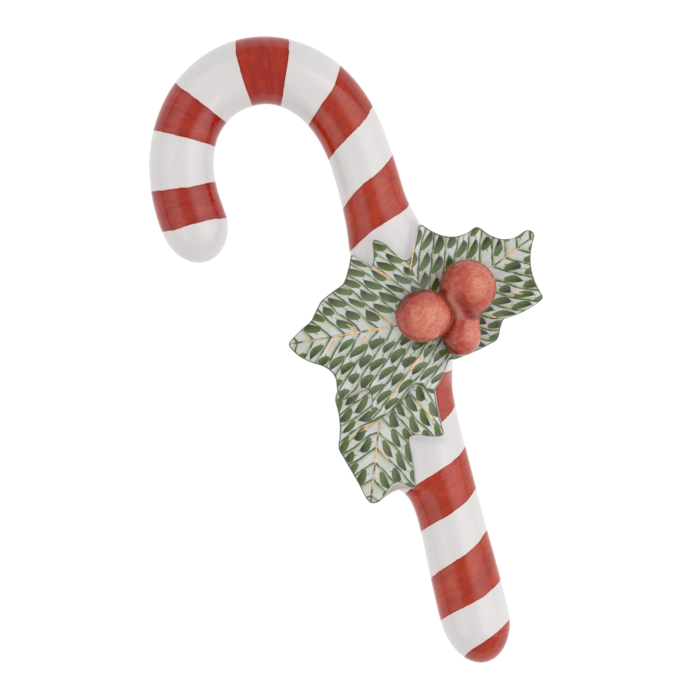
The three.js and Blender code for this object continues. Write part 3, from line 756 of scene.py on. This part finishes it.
# Burnished gold, worn and a little matt: a warm pale metal that shows its brush marks. The thin coat is the
# smoother top that rubbing gave it.
gold, tree, gold_colour = glazed("burnished_gold", 0.42, 0.1)
shader = tree.nodes["Principled BSDF"]
shader.inputs["Coat Weight"].default_value = 0.4
shader.inputs["Metallic"].default_value = 0.85
worn = add(tree, "TexNoise", add(tree, "TexCoord").outputs["Object"], Scale=1400, Detail=3, Roughness=0.6)
rubbed = add(tree, "MapRange", worn, 0.35, 0.7, interpolation_type="SMOOTHSTEP")
tree.links.new(layered(tree, linear("d6a06c"), (rubbed, linear("edcda0"))).outputs[2], gold_colour)

rng = np.random.default_rng(SWELL_SEED)
courses = []
for strokes, veins, climbs in ((PAIR_STROKES, PAIR_VEINS, True), (LOWER_STROKES, LOWER_VEINS, False)):
    for line, start, end in strokes:
        line = veins[line]
        lengths = np.concatenate([[0], np.cumsum(np.linalg.norm(np.diff(line, axis=0), axis=1))])
        ran = np.arange(start * lengths[-1], end * lengths[-1], STROKE_STEP)
        x, y = np.interp(ran, lengths, line[:, 0]), np.interp(ran, lengths, line[:, 1])
        knots = np.arange(ran[0], ran[-1] + SWELL_EVERY, SWELL_EVERY)
        swell = np.interp(ran, knots, rng.uniform(*SWELL_RANGE, len(knots)))
        from_end = np.minimum(ran - ran[0], ran[-1] - ran)
        full = STROKE_TIP + (1 - STROKE_TIP) * np.clip(from_end / STROKE_END, 0, 1)
        spots = np.column_stack([x, y, upper_face(x, y, veins, climbs)]) + FRAME_SHIFT
        courses.append((spots, full * swell / MM))

gold_sizes = {"Half Width": GOLD_WIDTH / 2 * MM, "Half Thickness": GOLD_THICKNESS / 2 * MM}
tree, given = begin_tree("sweep_flat_stroke", gold_sizes)
oval = add(tree, "CombineXYZ", given["Half Width"], given["Half Thickness"], 1.0)
section = add(tree, "Transform", add(tree, "CurvePrimitiveCircle", STROKE_SIDES, Radius=1.0), Scale=oval)
upright = add(tree, "SetCurveNormal", given["Guide"], mode="Z_UP")
swept = add(tree, "CurveToMesh", upright, section, add(tree, "InputRadius"), True)
gold_mesh = grow("gold_veins", guide_curve("gold_veins", courses), tree, swept, gold_sizes, gold)
gilding = piece_of("gold_veins", gold_mesh, gold)
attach(gilding, "root")

# ---- Berries ----
# Three balls of clay, pressed together on the leaves. Slip fills the creases and the hollow between all
# three. They are painted a salmon red that is thin on the domes and pools in the creases, then glazed.
# Painted
# light lies in the red too: each dome is paler on the side that faces the light, darker on the far side and
# in the creases as painted shade, and the hollow carries a painted highlight.

# Centre and radius of the left, the right and the small berry, and then of the slip between them.
BERRIES = [((4.2, 70.2, 17.6), 5.5), ((14.1, 73.5, 16.6), 5.7), ((10.6, 64.4, 15.4), 3.9)]
BERRY_WEB = ((11.7, 68.7, 14.6), 3.0)
LEFT_STRETCH = (1.03, 0.96, 1.0)  # the left berry is no true ball
WEB_FILLET = 2.6
CREASE_FLOOR = 18.9  # above this the left berry, which was pressed on last, pushes the others out of its way
BALL_SUBDIVISIONS = 6
SEARCH_REACH = 1.6  # radii out from a ball's centre, within which its fused surface lies
SEARCH_STEPS = 20
BERRY_VOXEL = 0.2
BERRY_SMOOTHING = 5
# Where each berry is paler, partly thin paint and partly a painted highlight on the side that faces the
# light: a direction out from its centre, and how much paler all of it is.
THIN_AND_LIT_TOWARDS = [((0.37, -0.26, 0.89), 0.1), ((0.54, 0.12, 0.83), -0.12), ((0.80, -0.15, 0.60), -0.04)]
# Where each berry is darker on its side away from the light, partly paint that ran down and pooled and partly
# painted shade: its bearing in degrees and how far it spreads on either side, how high it starts, over what
# height it fades in, and how dark it is. Heights are in radii from the middle of the ball.
POOLED_AND_SHADED_TOWARDS = [(114, 82, 0.8, 0.32, 0.95), (191, 74, 0.78, 0.6, 0.7), (208, 74, 0.8, 0.3, 0.95)]
POOL_FADE = 0.8  # share of the spread over which it fades
POOL_FOOT = (-1.5, -0.1)  # the heights between which it fades towards the leaf
# The creases are darkened as painted shade, along with paint that pooled in them.
CREASE_NEAREST = 0.28  # the least distance from the crease that the paint reads, so that it isn't black there
# A painted highlight that runs from the flank of the right berry into the hollow, and a darker run beside it
# of pooled paint and painted shade: the course of each, its reach on either side, and the share of that reach
# over which it fades.
HIGHLIGHT_RUN = ([(10.5, 72.2), (10.9, 70.4), (11.6, 68.9)], 1.9, 1.0)
DARK_RUN = ([(11.9, 72.2), (12.5, 70.8), (13.1, 68.9)], 1.9, 0.9)
DARK_RUN_DEPTH = 0.74  # how much nearer to a crease the paint takes the dark run to be
RUN_HIGHLIGHT = 0.8
HOLLOW_HIGHLIGHT = 0.5
HOLLOW_REACH = 0.5
# The distances from the left berry between which the painted highlight of the run and of the hollow comes in.
RUN_STARTS = (0.1, 0.5)
HOLLOW_STARTS = (0, 0.6)


def fused(one, other, fillet):
    """Two distances blended where they come close."""
    blend = np.maximum(0, fillet - np.abs(one - other)) / fillet
    return np.minimum(one, other) - blend**2 * fillet / 4


def berry_distances(points):
    """Distance to the left, the right and the small berry and to the slip between them."""
    balls = [*BERRIES, BERRY_WEB]
    return [np.linalg.norm(points - np.array(centre), axis=-1) - radius for centre, radius in balls]


def rest_distance(points):
    """Distance to the right and the small berry and the slip, pushed back where the left berry rises."""
    _, right, small, web = berry_distances(points)
    (x, y, _), radius = BERRIES[0]
    within_left = radius - np.hypot(points[..., 0] - x, points[..., 1] - y)
    pushed = np.minimum(within_left, points[..., 2] - CREASE_FLOOR)
    return np.maximum(fused(fused(right, web, WEB_FILLET), small, WEB_FILLET), pushed)


# The left ball is stretched a little. The points of the others move out to their fused surface, and one
# voxel remesh makes a single skin of all three.
cluster = bmesh.new()
for (centre, radius), fuses in zip(BERRIES, (False, True, True)):
    ball = bmesh.ops.create_icosphere(cluster, subdivisions=BALL_SUBDIVISIONS, radius=1.0)["verts"]
    rays = np.array([vertex.co for vertex in ball])
    rays /= np.linalg.norm(rays, axis=1)[:, None]
    if fuses:
        reach, beyond = np.zeros(len(rays)), np.full(len(rays), radius * SEARCH_REACH)
        for _ in range(SEARCH_STEPS):
            halfway = (reach + beyond) / 2
            within = rest_distance(np.array(centre) + rays * halfway[:, None]) < 0
            reach, beyond = np.where(within, halfway, reach), np.where(within, beyond, halfway)
    else:
        rays *= LEFT_STRETCH
        reach = np.full(len(rays), radius)
    for vertex, spot in zip(ball, (np.array(centre) + rays * reach[:, None] + FRAME_SHIFT) * MM):
        vertex.co = spot
balls_mesh = bpy.data.meshes.new("pressed_balls")
cluster.to_mesh(balls_mesh)
cluster.free()
balls = bpy.data.objects.new("pressed_balls", balls_mesh)
bpy.context.scene.collection.objects.link(balls)
fuse = balls.modifiers.new("fuse", "REMESH")
fuse.mode = "VOXEL"
fuse.voxel_size = BERRY_VOXEL * MM
relax = balls.modifiers.new("relax", "SMOOTH")
relax.iterations = BERRY_SMOOTHING
berry_mesh = bpy.data.meshes.new_from_object(balls.evaluated_get(bpy.context.evaluated_depsgraph_get()))
bpy.data.objects.remove(balls)

# The paint reads how thin it is and how it faces the light, where it pooled or lies in painted shade, how
# close the crease round the left berry is, and where a painted highlight lies in the hollow.
spots = np.zeros(len(berry_mesh.vertices) * 3)
berry_mesh.vertices.foreach_get("co", spots)
spots = spots.reshape(-1, 3) / MM - FRAME_SHIFT
left, right, small, web = berry_distances(spots)
nearest = np.argmin([left, right, small], axis=0)
outwards = spots - np.array([centre for centre, _ in BERRIES])[nearest]
outwards /= np.linalg.norm(outwards, axis=1)[:, None]
# Paler towards the light: thin paint and painted highlight.
lit_side = np.array([direction for direction, _ in THIN_AND_LIT_TOWARDS])[nearest]
paler = np.array([more for _, more in THIN_AND_LIT_TOWARDS])[nearest]
mark(berry_mesh, "thin", (outwards * lit_side).sum(axis=1) + paler)
# Pooled paint and painted shade on the side of each berry away from the light.
bearing, spread, height, fade, darkness = np.array(POOLED_AND_SHADED_TOWARDS)[nearest].T
turned_away = np.degrees(np.arctan2(outwards[:, 1], outwards[:, 0])) - bearing
turned_away = np.abs((turned_away + 180) % 360 - 180)
pooled = darkness * eased(height - outwards[:, 2], 0, fade)
pooled *= eased(spread - turned_away, 0, spread * POOL_FADE)
pooled *= eased(outwards[:, 2], *POOL_FOOT)
pale, dark = [
    eased(1 - distance_to_lines(spots[:, :2], [np.array(line)]) / reach, 0, fade)
    for line, reach, fade in (HIGHLIGHT_RUN, DARK_RUN)
]
mark(berry_mesh, "pooled", pooled * (1 - pale))
# Painted shade in the crease and along the dark run, with pooled paint.
from_crease = np.maximum(np.abs(left - rest_distance(spots)), CREASE_NEAREST)
mark(berry_mesh, "crease", np.minimum(from_crease, 1.0 - DARK_RUN_DEPTH * dark))
# A painted highlight in the hollow and along the run.
hollow_highlight_share = HOLLOW_HIGHLIGHT * np.exp(-((np.maximum(web, 0) / HOLLOW_REACH) ** 2))
hollow_highlight_share *= eased(left, *HOLLOW_STARTS)
run_highlight_share = RUN_HIGHLIGHT * pale * eased(left, *RUN_STARTS)
mark(berry_mesh, "web", np.maximum(hollow_highlight_share, run_highlight_share) * (1 - dark))

# Glazed porcelain in salmon red: a soft broad highlight, fine curved brush marks, dark flecks of pigment, and
# paint that is deeper in colour where it pooled. Painted light and shade lie in the colour as well: paler
# towards the light, darker on the far sides and in the creases, and a painted highlight in the hollow.
berry_glaze, tree, berry_colour = glazed("glazed_porcelain_salmon_berries", 0.4, 0.2)
scaled = add(tree, "TexCoord").outputs["Object"]
scaled = add(tree, "VectorMath", scaled, (1 / MM,) * 3, operation="MULTIPLY")
curl = add(tree, "TexNoise", scaled, Scale=0.12, Detail=1).outputs["Color"]
curled = add(tree, "VectorMath", curl, (9, 9, 9), scaled, operation="MULTIPLY_ADD")
turned = add(tree, "Mapping", curled, Rotation=(0, 0, math.radians(38)), Scale=(0.9, 3.4, 1.8))
strokes = add(tree, "TexNoise", turned, Scale=1, Detail=3, Roughness=0.6)
patches = add(tree, "TexNoise", scaled, Scale=0.5, Detail=3)
blots = add(tree, "TexNoise", scaled, Scale=1.1, Detail=3, Roughness=0.65)
specks = add(tree, "TexNoise", scaled, Scale=2.6)
thin, pooled, crease, web = [
    add(tree, "Attribute", attribute_name=name).outputs["Fac"] for name in ("thin", "pooled", "crease", "web")
]
# Paler on the side of each berry that faces the light and darker on the far side: partly thin paint, partly
# painted highlight and painted shade.
thin = add(tree, "Math", add(tree, "Math", patches, 0.5, -0.25, operation="MULTIPLY_ADD"), thin)
thin_and_lit_dome = add(tree, "MapRange", thin, 0.45, 1.0, interpolation_type="SMOOTHSTEP")
shaded = add(tree, "MapRange", thin, 0.45, -0.1, interpolation_type="SMOOTHSTEP")
brushed = add(tree, "MapRange", strokes, 0.58, 0.38, 0, 0.5, interpolation_type="SMOOTHSTEP")
mottled = add(tree, "MapRange", blots, 0.46, 0.64, 0, 0.3, interpolation_type="SMOOTHSTEP")
flecks = add(tree, "MapRange", specks, 0.38, 0.28, 0, 0.6, interpolation_type="SMOOTHSTEP")
# The run is pooled paint and painted shade, broken up by blots.
run = add(tree, "Math", add(tree, "Math", blots, 1.6, -0.8, operation="MULTIPLY_ADD"), pooled)
run = add(tree, "MapRange", run, 0.1, 0.8, interpolation_type="SMOOTHSTEP")
run = add(tree, "Math", run, pooled, operation="MULTIPLY")
# Darker near the crease round the left berry: pooled paint and painted shade.
near_crease = add(tree, "MapRange", crease, 0.9, 0.2, 0, 0.65, interpolation_type="SMOOTHSTEP")
in_crease = add(tree, "MapRange", crease, 0.36, 0.1, 0, 0.75, interpolation_type="SMOOTHSTEP")
# Of these layers, the paler dome and the shaded side are partly painted light and shade, the run and the
# crease layers are partly painted shade, and the web layer is a painted highlight.
salmon = layered(
    tree,
    linear("a93b27"),
    (thin_and_lit_dome, linear("d37c66")),
    (shaded, linear("80210f")),
    (brushed, linear("8e2b1a")),
    (mottled, linear("c9765f")),
    (flecks, linear("842a1f")),
    (web, linear("ce8778")),
    (run, linear("640c04")),
    (near_crease, linear("8a1408")),
    (in_crease, linear("5c0600")),
)
tree.links.new(salmon.outputs[2], berry_colour)

berries = piece_of("berry_cluster", berry_mesh, berry_glaze)
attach(berries, "root")
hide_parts("berry_left", "berry_right", "berry_small")

# ---- Camera, light and floor ----
# The camera looks straight down from far away, turned so that the shaft leans. A long softbox stands on the
# left and a broad one on the right, and the floor is a light table.

VIEW_ROLL = -13.7
VIEW_CENTRE = (-11.62, 67.03)
VIEW_WIDTH = 140
VIEW_DISTANCE = 2400
FACE_HEIGHT = 6  # above the table, where the view is that wide
SENSOR_WIDTH = 36
# Elevation and direction in degrees as seen in the view, distance, width and length in metres, power in
# watts, where across its width a softbox is brightest, from its upper edge, and how bright its lower edge is
# beside that.
SOFTBOXES = {
    "softbox_left": (40, 178, 1.1, 1.3, 2.2, 9.2, 0.32, 0.4),
    "softbox_right": (45, 2, 1.2, 2.0, 1.65, 17.3, 0.36, 0.45),
}
ROOM_LIGHT = 0.68
FLOOR_REACH = 3  # metres each way
FLOOR_GLOW = 0.93

camera = bpy.data.cameras.new("camera")
camera.sensor_width = SENSOR_WIDTH
camera.lens = SENSOR_WIDTH * (VIEW_DISTANCE - FACE_HEIGHT) / VIEW_WIDTH
camera.clip_end = 20
eye = bpy.data.objects.new("camera", camera)
eye.location = (np.array([*VIEW_CENTRE, VIEW_DISTANCE]) + FRAME_SHIFT) * MM
eye.rotation_euler = (0, 0, math.radians(VIEW_ROLL))
bpy.context.scene.collection.objects.link(eye)
bpy.context.scene.camera = eye

for name, (elevation, direction, distance, width, length, power, brightest, low) in SOFTBOXES.items():
    light = bpy.data.lights.new(name, "AREA")
    light.shape = "RECTANGLE"
    light.size, light.size_y = width, length
    light.energy = power
    light.use_nodes = True
    lit = light.node_tree
    across = add(lit, "SeparateXYZ", add(lit, "NewGeometry").outputs["Parametric"]).outputs["X"]
    above = add(lit, "MapRange", across, 0, brightest, interpolation_type="SMOOTHSTEP")
    below = add(lit, "MapRange", across, 1, brightest, low, 1, interpolation_type="SMOOTHSTEP")
    strength = add(lit, "Math", above, below, operation="MULTIPLY")
    lit.links.new(strength.outputs[0], lit.nodes["Emission"].inputs["Strength"])
    lamp = bpy.data.objects.new(name, light)
    turn, tilt = math.radians(direction + VIEW_ROLL), math.radians(90 - elevation)
    lamp.location = (
        distance * math.sin(tilt) * math.cos(turn),
        distance * math.sin(tilt) * math.sin(turn),
        distance * math.cos(tilt),
    )
    lamp.rotation_euler = (0, tilt, turn)
    bpy.context.scene.collection.objects.link(lamp)

world = bpy.data.worlds.new("studio")
world.use_nodes = True
world.node_tree.nodes["Background"].inputs["Color"].default_value = linear("f4f4f4")
world.node_tree.nodes["Background"].inputs["Strength"].default_value = ROOM_LIGHT
bpy.context.scene.world = world
bpy.context.scene.view_settings.view_transform = "Standard"

# A sheet of matt acrylic that is lit from below, as a light table is, so that the ornament throws only a
# faint shadow.
acrylic = bpy.data.materials.new("lit_matt_acrylic")
acrylic.use_nodes = True
shader = acrylic.node_tree.nodes["Principled BSDF"]
shader.inputs["Base Color"].default_value = linear("606060")
shader.inputs["Roughness"].default_value = 0.9
shader.inputs["Emission Color"].default_value = linear("ffffff")
shader.inputs["Emission Strength"].default_value = FLOOR_GLOW
corners = [(x * FLOOR_REACH, y * FLOOR_REACH, 0) for x, y in ((-1, -1), (1, -1), (1, 1), (-1, 1))]
floor_mesh = bpy.data.meshes.new("floor")
floor_mesh.from_pydata(corners, [], [(0, 1, 2, 3)])
floor_mesh.materials.append(acrylic)
floor = bpy.data.objects.new("floor", floor_mesh)
bpy.context.scene.collection.objects.link(floor)

bpy.context.view_layer.update()
